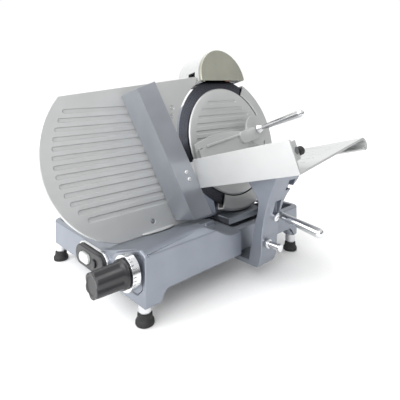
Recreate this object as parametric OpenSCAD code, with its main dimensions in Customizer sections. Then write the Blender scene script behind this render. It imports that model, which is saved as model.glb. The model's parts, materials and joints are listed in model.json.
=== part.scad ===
// Gravity-feed deli meat slicer with a 300 mm blade.
// X runs along the carriage travel, -Y is the product side, +Z is up.
// The blade stands in its own leaning frame: local X along the travel,
// local Y up the blade, local Z out of the blade towards the product.

/* [Base] */
// Length of the base casting
base_l = 407; // [360:1:490]
// Distance between the front and the rear wall
base_d = 333; // [310:1:400]
// Thickness of the cast walls
wall_t = 5; // [4:0.5:7]
// Height of the flat deck above the bench
deck_z = 70; // [66:1:84]
// Height of the rubber feet
foot_h = 18; // [12:1:30]

/* [Blade] */
// Diameter of the blade
blade_d = 300; // [250:2:360]
// Thickness of the blade
blade_t = 3; // [2:0.5:5]
// Lean of the blade from upright
lean = 16; // [10:1:20]
// Height of the blade axis above the bench
axis_z = 221; // [216:1:266]

/* [Gauge plate] */
// Thickness of the gauge plate
gauge_t = 8; // [6:0.5:12]
// Radius of the rounded end of the gauge plate
gauge_r = 161; // [130:1:170]
// Greatest slice thickness
slice_max = 13; // [6:0.5:14]

/* [Carriage] */
// Diameter of the slide bar
rail_d = 14; // [10:0.5:16]
// Travel of the carriage from the stored place towards the dial
travel_out = 180; // [120:5:180]
// Travel of the carriage past the blade
travel_in = 55; // [20:5:60]
// Width of the product tray along the travel
tray_w = 240; // [200:5:280]
// Depth of the product tray away from the blade
tray_d = 282; // [240:2:330]
// Height of the side wall of the tray
tray_wall_h = 52; // [40:1:80]

/* [Drive] */
// Diameter of the blade shaft
shaft_d = 25; // [20:1:30]
// Radial clearance of the running fits
fit = 0.03; // [0.02:0.01:0.08]

/* [Hidden] */

$fn = 72;
e = 0.5;                       // overshoot that lets a cut break through
blade_r = blade_d / 2;
x_lo = -base_l / 2;            // outer face of the dial side wall
x_hi = base_l / 2;
y_lo = -base_d / 2;            // outer face of the front wall
y_hi = base_d / 2;
pad_t = 5;                     // control pad that stands out of the dial side wall
skirt_z = 36;                  // lower edge of the legs and of the side walls
front_z = 53;                  // lower edge of the front and rear walls
rim_z = 80;                    // top of the rim around the deck
hump_z = 118;                  // highest line of the sloped front deck
hump_y = y_lo + 14;            // where that line lies
hump_x = x_lo + 115;                  // where the hump starts to drop towards the tray
hump_drop = 70;                // length of that drop
low_rim_z = 94;                // front rim right of the drop
deck_slope = 18.5;             // slope of the hump towards the blade
step_x = 0;                    // front wall steps back here
step_y = 10;
corner_r = 20;

foot_xs = [x_lo + 11.5, x_hi - 18];
foot_ys = [y_lo + 24, y_hi - 17];
stem_d = 21;
stud_r = 4;
stud_len = 13;
boss_h = 26;
pad_d = 28.5;
rim_w = 11;
dish_x = 4;                    // left end of the dish under the blade
dish_r = 62;

// blade axis
blade_x = x_hi - 48;
blade_y = 8.5;
ring_t = 4;                    // wall of the ring guard
ring_r = blade_r + 10;
cover_r = blade_r - 24;
cover_gap = 1.5;
shell_r = blade_r - 32;        // cast shell behind the blade
shell_t = 6;
shell_front = -14;
shell_rear = -75;
web_t = 6;
hub_r = 34;
bearing_r = shaft_d / 2 + 13.5;
bearing_w = 15;
hub_front = -12;
hub_rear = -48;
flange_t = 6;
belt_z = -62;                  // middle of the belt chamber
belt_w = 14;
blade_pulley_r = 56;
motor_pulley_r = 14;
motor_dx = -12;                // motor axis seen from the blade axis
motor_dy = -(blade_r - 58);
motor_r = 40;
motor_front = -82;
motor_rear = -160;
tie_r = 4;

// gauge mechanism, in the blade frame
gauge_cx = -284;
gauge_cy = 8;
gauge_low = -blade_r + 2;
gauge_gap = 4;                 // gap between the plate and the blade edge
rod_r = 6;
rod_x1 = -300;
rod_x2 = -180;
rod_front = 82;
rod_rear = -24;
slide_z0 = 10;
slide_len = 30;

// knob
knob_y = y_lo + 27;
knob_z = 85;
dial_r = 26;
dial_x0 = x_lo - pad_t - 6;
dial_w = 13;
grip_len = 50;
cam_r = 20.5;
cam_w = 8;
cam_x = x_lo + 19;             // face of the cam that carries the spiral
groove_d = 5;
pin_r = 2;
pin_start = 4.5;
knob_turn = 300;
// the guide rods lie level with the knob axis
rod_y = (knob_y - blade_y) * sin(lean) + (knob_z - axis_z) * cos(lean);
spiral_steps = 60;

// carriage
rail_r = rail_d / 2;
rail_y = y_lo + 52;
rail_z = 55;
bar_y = y_lo + 22;             // square support bar
bar_s = 8;
bar_z = 50;
roller_r = 8;
arm_x0 = 10.5;
arm_w = 46;
block_x0 = arm_x0 - 6;
block_w = arm_w + 14;
tray_roll = 7.5;
tray_x = -165;                 // lower inner corner of the tray, in the blade frame
tray_y = -82;
tray_t = 4;
tray_z0 = 10;                  // inner edge of the tray floor
curl_r = 12;
bead = 0.3;
fence_lean = 17.3;
fence_x = -241;
fence_t = 2.5;
fence_z0 = 3;
fence_z1 = 60;
fence_flange = 45;
fence_top = 120;
fence_low = 145;
flange_z = fence_z1 - fence_t;

// pusher, in the tray frame
rod_px = 22;
rod_py = 30;
rod_pr = 6;
post_z0 = 22;                  // inner post of the rod
post_t = 9;
bush_r = 8;
bush_z0 = post_z0 + post_t + 3;
bush_len = 64;
sleeve_r = 11.5;
bracket_z = tray_d - 12;
push_z = 36;                   // back face of the pusher plate
push_t = 4;
push_x0 = rod_px + 8;
push_w = 160;
push_low = 5;
push_h = 84;
arch_r = 300;
guard_x = 236;                 // hand guard and handle
guard_y = 64;
guard_r = 35;

gland_len = 16;
// middle of the outline, where the origin lies
mid_x = blade_x + (gauge_cx - gauge_r + ring_r) / 2;
tray_end = tray_y - tray_t * (cos(tray_roll) + sin(tray_roll));
tray_end_y = blade_y + tray_end * sin(lean) - (tray_d + 8) * cos(lean);
mid_y = (y_hi + gland_len + tray_end_y) / 2;

// ---------- frames ----------
module machine() {
    translate([-mid_x, -mid_y, 0]) children();
}
module blade_frame() {
    translate([blade_x, blade_y, axis_z]) rotate([90 - lean, 0, 0]) children();
}
module tray_frame() {
    blade_frame() translate([tray_x, tray_y, 0]) rotate([0, 0, tray_roll]) children();
}
module fence_frame() {
    blade_frame() translate([fence_x, 0, 0]) rotate([0, 0, fence_lean]) children();
}
module motor_frame() {
    blade_frame() translate([motor_dx, motor_dy, 0]) children();
}
// extrudes an outline drawn in (Y, Z) along X
module along_x(x0, x1) {
    translate([x0, 0, 0]) rotate([90, 0, 90]) linear_extrude(x1 - x0) children();
}
// extrudes an outline drawn in (X, Z) along Y
module along_y(y0, y1) {
    translate([0, y1, 0]) rotate([90, 0, 0]) linear_extrude(y1 - y0) children();
}
module rod_x(x0, x1, r) {
    translate([x0, 0, 0]) rotate([0, 90, 0]) cylinder(r = r, h = x1 - x0);
}
module tube(r, bore, h) {
    difference() {
        cylinder(r = r, h = h);
        translate([0, 0, -e]) cylinder(r = bore, h = h + 2 * e);
    }
}
module capsule(len, r, h) {
    translate([-len / 2, -r, 0]) cube([len, 2 * r, h]);
    for (s = [-1, 1]) translate([s * len / 2, 0, 0]) cylinder(r = r, h = h);
}
module round_rect(w, d, r) {
    translate([-w / 2 + r, -d / 2]) square([w - 2 * r, d]);
    translate([-w / 2, -d / 2 + r]) square([w, d - 2 * r]);
    for (sx = [-1, 1], sy = [-1, 1])
        translate([sx * (w / 2 - r), sy * (d / 2 - r)]) circle(r = r);
}
// band of thickness t outside radius r, that reaches half an angle to each side of +X
module arc_band(r, t, half) {
    open = 360 - 2 * half;
    difference() {
        circle(r = r + t);
        circle(r = r);
        polygon(concat([[0, 0]], [for (i = [0:4]) let(a = half + open * i / 4)
            2 * (r + t) * [cos(a), sin(a)]]));
    }
}
module feet() {
    for (x = foot_xs, y = foot_ys) translate([x, y, 0]) children();
}

// ---------- base ----------
// plan outline, drawn inwards by t
module base_plan(t) {
    union() {
        difference() {
            translate([x_lo + t, y_lo + t]) square([base_l - 2 * t, base_d - 2 * t]);
            translate([step_x - t, y_lo - e]) square([base_l, step_y + t + e]);
            translate([x_hi - corner_r, y_lo]) square([corner_r + e, step_y + corner_r]);
            for (sx = [-1, 1])
                translate([sx * (x_hi - corner_r / 2), y_hi - corner_r / 2])
                    square([corner_r + e, corner_r + e], center = true);
        }
        translate([x_hi - corner_r, y_lo + step_y + corner_r]) circle(r = corner_r - t);
        for (sx = [-1, 1])
            translate([sx * (x_hi - corner_r), y_hi - corner_r]) circle(r = corner_r - t);
    }
}
// height of the front rim along X: a hump that drops in a half cosine
function rim_at(x) =
    x < hump_x ? hump_z :
    x > hump_x + hump_drop ? low_rim_z :
    low_rim_z + (hump_z - low_rim_z) * (1 + cos(180 * (x - hump_x) / hump_drop)) / 2;
module rim_side(drop) {
    polygon(concat([[x_lo - pad_t, 0]], [[x_lo - pad_t, hump_z - 6 - drop]],
        [for (i = [0:12]) let(x = hump_x + hump_drop * i / 12) [x, rim_at(x) - drop]],
        [[x_hi + e, low_rim_z - drop], [x_hi + e, 0]]));
}
// side view of the front deck, drawn inwards by t
module hump_side(t) {
    run = (hump_z - deck_z) / tan(deck_slope);
    polygon([[y_lo + t, skirt_z - (t > 0 ? e : 0)], [y_lo + t, hump_z - 6 - t], [hump_y + t / 2, hump_z - t],
        [hump_y + run, deck_z - t], [hump_y + run, skirt_z - (t > 0 ? e : 0)]]);
}
module base_solid() {
    linear_extrude(deck_z) base_plan(0);
    // rim around the flat deck
    difference() {
        linear_extrude(rim_z) base_plan(0);
        translate([0, 0, deck_z]) linear_extrude(rim_z) base_plan(rim_w);
    }
    intersection() {
        along_x(x_lo, x_hi) hump_side(0);
        linear_extrude(hump_z + e) base_plan(0);
        along_y(y_lo - e, y_hi) rim_side(0);
    }
    // octagonal control pad
    along_x(x_lo - pad_t, x_lo + e)
        polygon([[y_lo, skirt_z], [y_lo, hump_z - 7], [hump_y, hump_z - 1], [y_lo + 80, rim_z + 13],
            [y_lo + 92, rim_z + 3], [y_lo + 92, skirt_z + 12], [y_lo + 80, skirt_z]]);
}
module base_cavity() {
    translate([0, 0, -e]) linear_extrude(deck_z - wall_t + e) base_plan(wall_t);
    intersection() {
        along_x(x_lo + wall_t, x_hi - wall_t) hump_side(wall_t);
        linear_extrude(hump_z) base_plan(wall_t);
        along_y(y_lo, y_hi) rim_side(wall_t);
    }
}
module leg_gap(len) {
    slant = 10;
    polygon([[-len / 2, -e], [-len / 2 + 2, skirt_z], [-len / 2 + slant, front_z - 4],
        [-len / 2 + slant + 6, front_z], [len / 2 - slant - 6, front_z],
        [len / 2 - slant, front_z - 4], [len / 2 - 2, skirt_z], [len / 2, -e]]);
}
module base_casting() {
    color([0.60, 0.62, 0.65])
    difference() {
        union() {
            difference() {
                base_solid();
                base_cavity();
                // legs: the front and rear walls are cut up between them
                along_y(y_lo - e, y_hi + e) leg_gap(base_l - 44);
                translate([x_lo - pad_t - e, y_lo - e, -e])
                    cube([base_l + 2 * pad_t, base_d + 2 * e, skirt_z + e]);
            }
            // leg bosses
            intersection() {
                translate([0, 0, skirt_z]) feet() cylinder(r = 15, h = boss_h);
                linear_extrude(deck_z) base_plan(0);
            }
            // thick floor under the trough
            translate([blade_x - 70, blade_y - 66, deck_z - 16]) cube([114, 62, 14]);
            // rail bosses at both ends
            for (x = [x_lo + 2, x_hi - 17]) translate([0, rail_y, rail_z])
                rod_x(x, x + 15, rail_r + 4);
            for (x = [x_lo + 2, x_hi - 17])
                translate([x, bar_y - bar_s, bar_z - 3]) cube([15, 2 * bar_s, bar_s + 6]);
            // brackets that hang from the deck and hold the gauge rods
            intersection() {
                blade_frame() for (x = [rod_x1, rod_x2], z = [rod_front - 12, rod_rear])
                    translate([x - 11, rod_y - 7.5, z]) cube([22, 60, 12]);
                union() {
                    linear_extrude(deck_z - 2) base_plan(2);
                    along_x(x_lo, x_hi) hump_side(2);
                }
            }
            // pillars for the bottom plate
            bottom_screw_places() translate([0, 0, skirt_z + 6]) cylinder(r = 6, h = deck_z - skirt_z - 8);
        }
        // bores
        feet() translate([0, 0, skirt_z - e]) cylinder(r = stud_r, h = stud_len + 2);
        translate([0, rail_y, rail_z]) rod_x(x_lo + 8, x_hi - 8, rail_r);
        translate([x_lo + 8, bar_y - bar_s / 2, bar_z]) cube([base_l - 16, bar_s, bar_s]);
        blade_frame() for (x = [rod_x1, rod_x2]) translate([x, rod_y, rod_rear + 4])
            cylinder(r = rod_r, h = rod_front - rod_rear - 8);
        bottom_screw_places() translate([0, 0, skirt_z]) cylinder(r = 2, h = 18);
        // knob shaft bore and the shallow recess of the control panel
        translate([0, knob_y, knob_z]) rod_x(x_lo - pad_t - e, x_lo + wall_t + e, 7 + fit);
        along_x(x_lo - pad_t - e, x_lo - pad_t + 1.5)
            polygon([[y_lo + 7, skirt_z + 26], [y_lo + 7, hump_z - 14], [hump_y + 3, hump_z - 9],
                [y_lo + 72, rim_z + 8], [y_lo + 84, rim_z - 2], [y_lo + 84, skirt_z + 26],
                [y_lo + 68, skirt_z + 14], [y_lo + 20, skirt_z + 14]]);
        // slot for the bracket of the gauge plate
        translate([blade_x - 262, -46, deck_z - 8]) cube([44, 64, 30]);
        // dish under the blade, and the trough that the ring guard hangs in
        translate([dish_x, y_lo + rim_w + dish_r, deck_z + dish_r]) rod_x(0, x_hi - dish_x - rim_w, dish_r);
        translate([dish_x, y_lo + rim_w + dish_r, deck_z])
            cube([x_hi - dish_x - rim_w, 100, 60]);
        blade_frame() translate([0, 0, shell_front - 3])
            cylinder(r = ring_r + 3, h = 12 - shell_front, $fn = 120);
        // opening over the motor
        translate([blade_x + motor_dx - motor_r - 2, 36, deck_z - wall_t - e])
            cube([2 * motor_r + 4, 108, wall_t + 2 * e]);
        // holes for the switch and the cable
        translate([0, switch_y, switch_z]) rod_x(x_lo - pad_t, x_lo + wall_t + e, 5.5);
        translate([-120, 0, 60]) rotate([-90, 0, 0]) cylinder(r = 8, h = y_hi + e);
    }
}
module bottom_screw_places() {
    for (x = [x_lo + 42, 0, x_hi - 48], y = [y_lo + 166, y_hi - 24]) translate([x, y, 0]) children();
}
module bottom_plate() {
    color([0.62, 0.63, 0.65])
    translate([0, 0, skirt_z + 4])
    difference() {
        translate([x_lo + wall_t + 1, y_lo + 100, 0])
            cube([base_l - 2 * wall_t - 2, base_d - 100 - wall_t - 17, 2]);
        bottom_screw_places() translate([0, 0, -e]) cylinder(r = 2.4, h = 3);
        feet() translate([0, 0, -e]) cylinder(r = 16, h = 3);
        // cooling slots under the motor
        for (i = [0:6]) translate([blade_x - 60 + 14 * i, 100, -e]) rotate([0, 0, 90]) capsule(50, 2.5, 3);
    }
}
module bottom_plate_screws() {
    color([0.75, 0.76, 0.78])
    bottom_screw_places() {
        translate([0, 0, skirt_z + 1.4]) cylinder(r = 4, h = 2.6);
        translate([0, 0, skirt_z + 1.4]) cylinder(r = 1.95, h = 15);
    }
}
module foot_stems() {
    color([0.85, 0.86, 0.88])
    feet() {
        translate([0, 0, foot_h]) cylinder(r = stem_d / 2 - 1.5, h = 2);
        translate([0, 0, foot_h + 2]) cylinder(r = stem_d / 2, h = skirt_z - foot_h - 2);
        translate([0, 0, skirt_z - 1]) cylinder(r = stud_r, h = stud_len);
    }
}
module foot_pads() {
    color([0.07, 0.07, 0.08])
    feet() rotate_extrude()
        polygon([[0, 0], [pad_d / 2 - 1, 0], [pad_d / 2, 2], [pad_d / 2 - 0.5, 8],
            [stem_d / 2 + 0.6, foot_h - 3], [stem_d / 2 + 0.4, foot_h], [0, foot_h]]);
}

// ---------- controls ----------
switch_y = y_lo + 155;
switch_z = 59;
switch_len = 62;
switch_r = 17;
switch_t = 12;
module switch_housing() {
    color([0.09, 0.09, 0.10])
    difference() {
        translate([x_lo, switch_y, switch_z]) rotate([90, 0, -90]) capsule(switch_len, switch_r, switch_t);
        translate([x_lo, switch_y, switch_z]) rotate([90, 0, -90]) {
            translate([-12, 0, 3]) capsule(16, 8.5, switch_t);
            translate([20, 0, 3]) cylinder(r = 6.3, h = switch_t);
        }
    }
    color([0.09, 0.09, 0.10]) translate([0, switch_y, switch_z]) rod_x(x_lo - e, x_lo + 20, 5.4);
}
module switch_bezel() {
    color([0.92, 0.92, 0.93])
    difference() {
        translate([x_lo, switch_y, switch_z]) rotate([90, 0, -90]) capsule(switch_len, switch_r + 3.4, 5);
        translate([x_lo + e, switch_y, switch_z]) rotate([90, 0, -90]) capsule(switch_len, switch_r, 9);
        translate([x_lo - 10, y_lo + 92 - 40, switch_z - 60]) cube([20, 40.4, 120]);
    }
}
module start_button() {
    color([0.80, 0.81, 0.80])
    translate([x_lo - switch_t + 4, switch_y, switch_z]) rotate([90, 0, -90])
        translate([-12, 0, 0]) capsule(16, 8.2, 8);
}
module stop_button() {
    color([0.12, 0.12, 0.13])
    translate([x_lo - switch_t + 4, switch_y, switch_z]) rotate([90, 0, -90])
        translate([20, 0, 0]) cylinder(r = 6, h = 7);
}
module cable_gland() {
    color([0.10, 0.10, 0.11])
    difference() {
        translate([-120, y_hi, 60]) rotate([-90, 0, 0]) {
            cylinder(r = 11, h = 6);
            cylinder(r = 8, h = gland_len);
            translate([0, 0, -wall_t - 8]) cylinder(r = 7.9, h = wall_t + 9);
        }
        translate([-120, y_hi, 60]) rotate([-90, 0, 0]) translate([0, 0, -20]) cylinder(r = 4, h = 40);
    }
}
module control_board() {
    color([0.10, 0.35, 0.20]) {
        translate([x_lo + 32, 60, skirt_z + 10]) cube([70, 50, 2]);
        translate([x_lo + 42, 70, skirt_z + 12]) cube([20, 16, 12]);
        translate([x_lo + 72, 72, skirt_z + 12]) cylinder(r = 7, h = 12);
    }
    color([0.8, 0.8, 0.75])
        for (sx = [36, 98], sy = [64, 106]) translate([x_lo + sx, sy, skirt_z + 6]) cylinder(r = 2.5, h = 4);
}
module motor_capacitor() {
    color([0.82, 0.83, 0.85]) translate([0, 126, skirt_z + 17]) rod_x(-92, -30, 11);
    color([0.15, 0.15, 0.16]) translate([0, 126, skirt_z + 17]) rod_x(-30, -24, 9);
}

// ---------- blade drive ----------
module blade_housing() {
    color([0.68, 0.69, 0.71])
    difference() {
        union() {
            blade_frame() difference() {
                translate([0, 0, shell_rear]) cylinder(r = shell_r, h = shell_front - shell_rear, $fn = 120);
                translate([0, 0, shell_rear - e])
                    cylinder(r = shell_r - shell_t, h = shell_front - shell_rear + 2 * e, $fn = 120);
            }
            blade_frame() translate([0, 0, hub_rear - 2]) cylinder(r = shell_r - e, h = web_t);
            blade_frame() translate([0, 0, hub_rear - 2]) cylinder(r = hub_r, h = hub_front - hub_rear + 2);
            for (a = [0:60:300]) blade_frame() rotate([0, 0, a + 20])
                translate([hub_r - 2, -2.5, hub_rear]) cube([shell_r - hub_r - 2, 5, 22]);
            // pedestal on the deck
            difference() {
                intersection() {
                    blade_frame() translate([-72, -blade_r - 30, shell_rear])
                        cube([124, 104, shell_front - shell_rear]);
                    translate([0, -60, deck_z]) cube([x_hi - rim_w - 1, 200, 140]);
                }
                blade_frame() translate([0, 0, shell_rear - e])
                    cylinder(r = shell_r - shell_t, h = shell_front - shell_rear + 2 * e, $fn = 120);
            }
            // boss of the sharpener post
            intersection() {
                blade_frame() translate([post_x, shell_r + 12, post_z]) rotate([90, 0, 0])
                    cylinder(r = 15, h = 26);
                blade_frame() translate([0, 0, shell_rear]) difference() {
                    translate([-50, 0, 0]) cube([120, blade_r, 60]);
                    cylinder(r = shell_r - 1, h = 60);
                }
            }
        }
        blade_frame() translate([0, 0, hub_rear - e]) cylinder(r = bearing_r, h = 60);
        blade_frame() translate([0, 0, hub_rear - 4]) cylinder(r = bearing_r - 4, h = 60);
        blade_frame() translate([post_x, shell_r + 12 + e, post_z]) rotate([90, 0, 0])
            cylinder(r = post_r, h = 22);
    }
}
module housing_rear_cover() {
    color([0.70, 0.71, 0.73])
    blade_frame() difference() {
        translate([0, 0, shell_rear - 3]) cylinder(r = shell_r, h = 3);
        translate([0, 0, shell_rear - 4]) cylinder(r = tie_r + 0.2, h = 6);
        translate([motor_dx, motor_dy, shell_rear - 4]) cylinder(r = 10, h = 6);
    }
}
module motor_cover() {
    z0 = motor_rear - 14;
    z1 = shell_rear - 3;
    color([0.66, 0.67, 0.69])
    difference() {
        union() {
            intersection() {
                motor_frame() {
                    translate([0, 0, z0]) cylinder(r = motor_r + 8, h = z1 - z0);
                    translate([-motor_r - 8, -90, z0]) cube([2 * motor_r + 16, 90, z1 - z0]);
                }
                translate([0, 0, deck_z]) cube([x_hi - 6, y_hi - 14, 200]);
            }
        }
        motor_frame() translate([0, 0, z0 + 4]) cylinder(r = motor_r + 4, h = z1 - z0);
        motor_frame() translate([-motor_r - 4, -90, z0 + 4]) cube([2 * motor_r + 8, 90, z1 - z0]);
        // cooling slots in the rear face
        for (i = [-3:3]) motor_frame() translate([9 * i, 10, z0 - 30]) rotate([0, 0, 90]) capsule(30, 2, 40);
    }
}
module motor_body() {
    color([0.25, 0.27, 0.30])
    motor_frame() {
        difference() {
            translate([0, 0, motor_rear]) cylinder(r = motor_r, h = motor_front - motor_rear - 6);
            translate([0, 0, motor_rear - e]) cylinder(r = 7, h = 90);
        }
        difference() {
            translate([0, 0, motor_front - 6]) cylinder(r = motor_r - 6, h = 10);
            translate([0, 0, motor_front - 8]) cylinder(r = 7, h = 20);
        }
    }
}
module motor_pulley() {
    color([0.75, 0.76, 0.78])
    motor_frame() {
        translate([0, 0, belt_z - belt_w / 2]) cylinder(r = motor_pulley_r, h = belt_w);
        translate([0, 0, motor_rear + 6]) cylinder(r = 6.9, h = belt_z - motor_rear - 10);
    }
}
// the belt runs a hair clear of both pulleys
belt_len = sqrt(motor_dx * motor_dx + motor_dy * motor_dy);
belt_turn = atan2(motor_dy, motor_dx);
belt_open = acos((blade_pulley_r - motor_pulley_r) / belt_len);
belt_run = belt_len * sin(belt_open);
belt_gap = 0.4;
belt_t = 3;
module drive_belt() {
    lap = 4;
    skin = 0.3;                // the straight runs enter the arcs inside their surfaces
    color([0.08, 0.08, 0.09])
    blade_frame() translate([0, 0, belt_z - belt_w / 2 + 1]) rotate([0, 0, belt_turn])
        linear_extrude(belt_w - 2) {
            rotate(180) arc_band(blade_pulley_r + belt_gap, belt_t, 180 - belt_open + lap);
            translate([belt_len, 0]) arc_band(motor_pulley_r + belt_gap, belt_t, belt_open + lap);
            for (m = [0, 1]) mirror([0, m]) rotate(belt_open)
                translate([blade_pulley_r + belt_gap + skin, -belt_run])
                    square([belt_t - 2 * skin, belt_run]);
        }
}
module blade_pulley() {
    color([0.72, 0.73, 0.75])
    blade_frame() difference() {
        translate([0, 0, belt_z - belt_w / 2]) tube(blade_pulley_r, shaft_d / 2, belt_w);
        for (a = [0:60:300]) rotate([0, 0, a]) translate([33, 0, belt_z - belt_w])
            cylinder(r = 10, h = 2 * belt_w);
    }
}
module blade_shaft() {
    color([0.80, 0.81, 0.83])
    blade_frame() difference() {
        union() {
            translate([0, 0, belt_z - belt_w / 2 - 2]) cylinder(r = shaft_d / 2, h = 62);
            translate([0, 0, -blade_t - flange_t]) cylinder(r = 44, h = flange_t);
            translate([0, 0, -blade_t - e]) cylinder(r = 28.4, h = blade_t - 0.5);
        }
        translate([0, 0, belt_z - 20]) cylinder(r = tie_r + 0.6, h = 90);
        screw_ring() translate([0, 0, -blade_t - flange_t - e]) cylinder(r = 2.5, h = flange_t + 2 * e);
    }
}
module screw_ring() {
    for (a = [30:120:270]) rotate([0, 0, a]) translate([36, 0, 0]) children();
}
module hub_bearings() {
    color([0.86, 0.87, 0.89])
    blade_frame() for (z = [hub_rear + 2, hub_front - 2 - bearing_w])
        translate([0, 0, z]) tube(bearing_r, shaft_d / 2 + fit, bearing_w);
}
module blade() {
    color([0.42, 0.44, 0.50])
    blade_frame() difference() {
        rotate_extrude($fn = 180)
            polygon([[28.5, -blade_t], [blade_r - 8, -blade_t], [blade_r - 0.4, -0.6], [blade_r, -0.3],
                [blade_r - 12, 0], [28.5, 0]]);
        screw_ring() translate([0, 0, -blade_t - e]) cylinder(r = 2.8, h = blade_t + 1);
        screw_ring() translate([0, 0, -1.6]) cylinder(r = 5.4, h = 3);
    }
}
module blade_screws() {
    color([0.80, 0.81, 0.83])
    blade_frame() screw_ring() difference() {
        union() {
            translate([0, 0, -1.6]) cylinder(r = 5.2, h = 1.5);
            translate([0, 0, -blade_t - flange_t]) cylinder(r = 2.5, h = 8);
        }
        translate([0, 0, -0.9]) cube([8, 1, 2], center = true);
    }
}
cover_grooves = 11;
groove_pitch = 16.5;
module blade_cover() {
    color([0.74, 0.75, 0.77])
    blade_frame() difference() {
        union() {
            rotate_extrude($fn = 180)
                polygon([[0, cover_gap], [cover_r - 2, cover_gap], [cover_r, cover_gap + 1.5],
                    [cover_r - 3, cover_gap + 4.5], [cover_r - 14, cover_gap + 6], [0, cover_gap + 6]]);
            translate([0, 0, -0.4]) cylinder(r = 9, h = 4);
        }
        translate([0, 0, -1]) cylinder(r = tie_r, h = 6);
        for (i = [0:cover_grooves - 1]) let(y = 91 - groove_pitch * i, hw = sqrt(103 * 103 - y * y))
            translate([-4, y, cover_gap + 4]) capsule(2 * hw - 8, 3.4, 5);
    }
}
module cover_tie_bolt() {
    color([0.80, 0.81, 0.83])
    blade_frame() translate([0, 0, shell_rear - 26]) cylinder(r = tie_r, h = 26 - shell_rear + 4);
}
module cover_knob() {
    color([0.10, 0.10, 0.11])
    blade_frame() translate([0, 0, shell_rear - 22]) difference() {
        union() {
            cylinder(r = 13, h = 14);
            for (a = [0:60:300]) rotate([0, 0, a]) translate([12, 0, 0]) cylinder(r = 5, h = 14);
            translate([0, 0, 13]) cylinder(r = 9, h = 5.6);
        }
        translate([0, 0, -e]) cylinder(r = tie_r + fit, h = 22);
    }
}
ring_from = -114;
ring_to = 56;
module ring_guard() {
    color([0.68, 0.69, 0.71])
    blade_frame() rotate([0, 0, ring_from]) rotate_extrude(angle = ring_to - ring_from, $fn = 180)
        polygon([[cover_r + 1.5, 2.2], [cover_r + 1.5, 5], [cover_r + 4, 6.5], [ring_r - 5, 6.5],
            [ring_r, 2], [ring_r, shell_front], [shell_r - 5, shell_front],
            [shell_r - 5, shell_front + 3], [ring_r - ring_t, shell_front + 3], [ring_r - ring_t, 2.2]]);
}
module slice_deflector() {
    color([0.82, 0.83, 0.84])
    blade_frame() {
        rotate([0, 0, 130]) rotate_extrude(angle = 100, $fn = 120)
            polygon([[shell_r - 5, shell_front], [blade_r - 18, shell_front], [blade_r - 5, -7],
                [blade_r - 4, -6], [blade_r - 6, -6], [blade_r - 19, shell_front + 1.2],
                [shell_r - 5, shell_front + 1.2]]);
        for (a = [140, 180, 220]) rotate([0, 0, a]) translate([shell_r - 1.5, 0, shell_front + 0.6])
            cylinder(r = 2.2, h = 2.4);
    }
}

// ---------- sharpener ----------
post_x = 12;
post_z = -45;
post_r = 8;
hood_r = 75;
hood_y = 146;
hood_front = 15;
hood_split = 5;
hood_rear = -70;
stone_a = [-14, 161];
stone_b = [34, 168];
module hood_outline(r) {
    intersection() {
        union() {
            translate([post_x, hood_y]) circle(r = r);
            translate([post_x - r, hood_y - 10]) square([2 * r, 10]);
        }
        translate([post_x - 100, hood_y - 3]) square([200, 120]);
    }
}
module sharpener_post() {
    color([0.84, 0.85, 0.87])
    blade_frame() translate([post_x, shell_r - 8, post_z]) rotate([-90, 0, 0])
        cylinder(r = post_r, h = 66);
}
module sharpener_body() {
    color([0.72, 0.73, 0.73])
    blade_frame() difference() {
        union() {
            difference() {
                translate([0, 0, hood_rear]) linear_extrude(hood_split - hood_rear) hood_outline(hood_r);
                translate([0, 0, hood_rear + 4]) linear_extrude(hood_split - hood_rear)
                    hood_outline(hood_r - 3);
                translate([post_x - hood_r + 3, hood_y - 9, hood_rear + 4])
                    cube([2 * hood_r - 6, 12, 80]);
            }
            intersection() {
                union() {
                    translate([post_x, hood_y + hood_r, post_z]) rotate([90, 0, 0])
                        cylinder(r = 13, h = hood_r - 8);
                    translate([post_x - 13, hood_y + 10, hood_rear + 2]) cube([26, 60, 26]);
                    for (p = [stone_a, stone_b]) translate([p[0], p[1], hood_rear + 2])
                        cylinder(r = 8, h = 34);
                }
                translate([0, 0, hood_rear]) linear_extrude(60) hood_outline(hood_r - 1);
            }
        }
        translate([post_x, hood_y - 10, post_z]) rotate([-90, 0, 0]) cylinder(r = post_r + fit, h = 64);
        for (p = [stone_a, stone_b]) translate([p[0], p[1], hood_rear - e])
            cylinder(r = 4 + fit, h = 50);
        translate([post_x, hood_y + 19, hood_rear - e]) cylinder(r = 4 + fit, h = 20);
        // window in the side
        translate([post_x - hood_r - 5, hood_y + 6, -32]) cube([20, 18, 24]);
    }
}
module sharpener_hood() {
    color([0.66, 0.66, 0.62])
    blade_frame() difference() {
        translate([0, 0, hood_split]) linear_extrude(hood_front - hood_split) hood_outline(hood_r);
        translate([0, 0, hood_split - e]) linear_extrude(hood_front - hood_split - 3 + e)
            hood_outline(hood_r - 3);
        translate([post_x - hood_r + 3, hood_y - 9, hood_split - e])
            cube([2 * hood_r - 6, 12, hood_front - hood_split - 3 + e]);
    }
}
module sharpener_lock_knob() {
    color([0.10, 0.10, 0.11])
    blade_frame() translate([post_x, hood_y + 19, 0]) {
        translate([0, 0, hood_rear - 18]) cylinder(r = 11, h = 15);
        for (a = [22.5:45:337.5]) translate([0, 0, hood_rear - 17.5]) rotate([0, 0, a])
            translate([10, 0, 0]) cylinder(r = 2.5, h = 14);
        translate([0, 0, hood_rear - 4]) cylinder(r = 4, h = 17);
    }
}
module grind_button() {
    color([0.10, 0.10, 0.11])
    blade_frame() translate([stone_a[0], stone_a[1], 0]) {
        translate([0, 0, hood_rear - 16]) cylinder(r = 8, h = 11);
        translate([0, 0, hood_rear - 8]) cylinder(r = 4, h = -15 - hood_rear + 8);
        translate([0, 0, -16]) cylinder(r = 3, h = 9.5);
    }
}
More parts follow.
